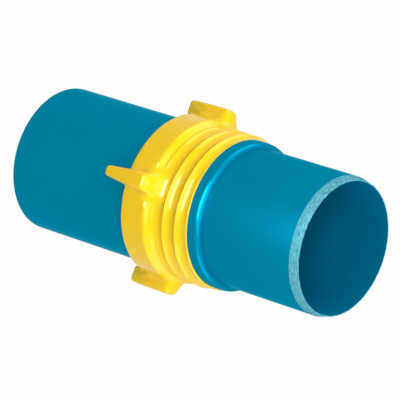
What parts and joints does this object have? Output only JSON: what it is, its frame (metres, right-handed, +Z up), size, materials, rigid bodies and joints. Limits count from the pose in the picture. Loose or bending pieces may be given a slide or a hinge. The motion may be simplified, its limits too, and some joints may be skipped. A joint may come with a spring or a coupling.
{
  "type": "male threaded pipe adaptor",
  "caption": "Straight plastic pipe adaptor with a socket at one end, a chamfered spigot at the other, and a lugged ring with a coarse outside thread between them.",
  "frame": {"origin": "centre of the socket's mouth, on the pipe axis", "axes": "+Z up the pipe axis from the socket to the spigot, as the fitting stands on its socket end; one lug of the ring faces -Y"},
  "size_m": [0.1036, 0.1036, 0.2],
  "materials": {
    "blue_plastic": "smooth, slightly satin blue pipe plastic, with a pale machined lead-in at the spigot end",
    "yellow_plastic": "glossy moulded yellow plastic"
  },
  "bodies": {
    "root": {"pipe_body": "blue_plastic", "threaded_ring": "yellow_plastic"}
  },
  "joints": []
}
